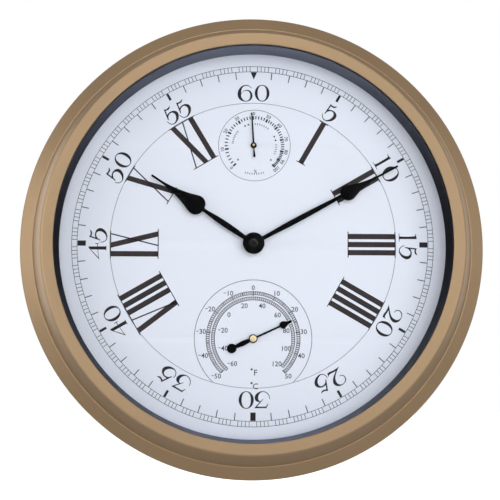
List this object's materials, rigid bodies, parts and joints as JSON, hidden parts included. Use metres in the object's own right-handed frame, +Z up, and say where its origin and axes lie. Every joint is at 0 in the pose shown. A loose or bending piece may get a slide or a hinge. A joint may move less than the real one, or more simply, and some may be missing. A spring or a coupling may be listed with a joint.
{
  "type": "wall weather station clock",
  "caption": "Round wall clock with thermometer and hygrometer dials, stepped metal case, glass front and battery quartz movement.",
  "frame": {"origin": "on the axis of the clock hands, in the plane of the wall, on the flat back of the clock movement", "axes": "-Y out of the dial towards the viewer, +Y into the wall, +Z up, +X to the viewer's right"},
  "size_m": [0.394, 0.0515, 0.394],
  "materials": {
    "tan_paint": "smooth semi-gloss tan enamel",
    "clear_glass": "clear float glass",
    "black_rubber": "matt",
    "black_plastic": "fine moulded",
    "dial_white": "satin, printed",
    "black_steel": "satin",
    "black_enamel": "satin",
    "zinc_steel": "zinc plated",
    "bare_steel": "rolled",
    "brass": "polished",
    "copper": "enamelled wire and bimetal strip",
    "white_plastic": "moulded acetal",
    "dark_magnet": "sintered magnet",
    "board_green": "solder resist",
    "cell_steel": "plain sleeve"
  },
  "bodies": {
    "case": {"bezel": "tan_paint", "case_band": "tan_paint", "glass": "clear_glass", "glass_gasket": "black_rubber", "spacer_ring": "black_plastic", "dial_plate": "dial_white", "back_cover": "black_steel", "hanger_plate": "zinc_steel", "cover_screw_1": "zinc_steel", "cover_screw_2": "zinc_steel", "cover_screw_3": "zinc_steel", "cover_screw_4": "zinc_steel", "hanger_screw_1": "zinc_steel", "hanger_screw_2": "zinc_steel", "movement_rear_case": "black_plastic", "movement_front_case": "black_plastic", "train_plate": "zinc_steel", "stator": "bare_steel", "coil": "copper", "circuit_board": "board_green", "quartz_crystal": "bare_steel", "battery": "cell_steel", "contact_positive": "zinc_steel", "contact_negative": "zinc_steel", "dial_gasket": "black_rubber", "shaft_washer": "brass", "shaft_nut": "brass", "thermometer_case": "black_plastic", "bimetal_coil": "copper", "hygrometer_case": "black_plastic", "humidity_coil": "bare_steel"},
    "minute_group": {"centre_arbor": "zinc_steel", "minute_hand": "black_enamel", "minute_hand_cap": "black_enamel"},
    "hour_group": {"hour_wheel": "white_plastic", "hour_hand": "black_enamel"},
    "motion_gear": {"motion_wheel": "white_plastic"},
    "knob_gear": {"setting_knob": "black_plastic"},
    "rotor_gear": {"rotor": "dark_magnet"},
    "intermediate_gear": {"intermediate_wheel": "white_plastic"},
    "second_gear": {"second_wheel": "white_plastic"},
    "third_gear": {"third_wheel": "white_plastic"},
    "centre_gear": {"centre_wheel": "brass"},
    "thermometer_pointer": {"thermometer_spindle": "brass", "thermometer_hand": "black_enamel", "thermometer_hand_cap": "brass"},
    "hygrometer_pointer": {"hygrometer_spindle": "brass", "hygrometer_hand": "black_enamel"}
  },
  "joints": [
    {"name": "minute_hand_turn", "type": "hinge", "parent": "case", "child": "minute_group", "pos_m": [0, 0, 0], "axis": [0, 1, 0], "continuous": true},
    {"name": "hour_hand_turn", "type": "hinge", "parent": "case", "child": "hour_group", "pos_m": [0, 0, 0], "axis": [0, 1, 0], "continuous": true},
    {"name": "motion_wheel_turn", "type": "hinge", "parent": "case", "child": "motion_gear", "pos_m": [0, 0, 0.008], "axis": [0, 1, 0], "continuous": true},
    {"name": "setting_knob_turn", "type": "hinge", "parent": "case", "child": "knob_gear", "pos_m": [0, 0, 0.016], "axis": [0, 1, 0], "continuous": true},
    {"name": "rotor_turn", "type": "hinge", "parent": "case", "child": "rotor_gear", "pos_m": [-0.0156, 0, 0], "axis": [0, 1, 0], "continuous": true},
    {"name": "intermediate_wheel_turn", "type": "hinge", "parent": "case", "child": "intermediate_gear", "pos_m": [-0.0084, 0, 0], "axis": [0, 1, 0], "continuous": true},
    {"name": "second_wheel_turn", "type": "hinge", "parent": "case", "child": "second_gear", "pos_m": [0, 0, 0], "axis": [0, 1, 0], "continuous": true},
    {"name": "third_wheel_turn", "type": "hinge", "parent": "case", "child": "third_gear", "pos_m": [0.00883, 0, 0.0051], "axis": [0, 1, 0], "continuous": true},
    {"name": "centre_wheel_turn", "type": "hinge", "parent": "case", "child": "centre_gear", "pos_m": [0, 0, 0], "axis": [0, 1, 0], "continuous": true},
    {"name": "thermometer_hand_turn", "type": "hinge", "parent": "case", "child": "thermometer_pointer", "pos_m": [0, 0, -0.079], "axis": [0, 1, 0], "range_deg": [-201.8, 71.2], "stiffness_Nm_per_rad": 0.002, "deforming": ["bimetal_coil"]},
    {"name": "hygrometer_hand_turn", "type": "hinge", "parent": "case", "child": "hygrometer_pointer", "pos_m": [0, 0, 0.0837], "axis": [0, 1, 0], "range_deg": [-131.5, 140.5], "stiffness_Nm_per_rad": 0.001, "deforming": ["humidity_coil"]}
  ],
  "couplings": [
    {"joint": "hour_hand_turn", "follows": "minute_hand_turn", "ratio": 0.083333},
    {"joint": "motion_wheel_turn", "follows": "minute_hand_turn", "ratio": -0.33333},
    {"joint": "setting_knob_turn", "follows": "minute_hand_turn", "ratio": 1},
    {"joint": "intermediate_wheel_turn", "follows": "rotor_turn", "ratio": -0.2},
    {"joint": "second_wheel_turn", "follows": "rotor_turn", "ratio": 0.033333},
    {"joint": "third_wheel_turn", "follows": "rotor_turn", "ratio": -0.0041667},
    {"joint": "centre_wheel_turn", "follows": "rotor_turn", "ratio": 0.00055556}
  ]
}
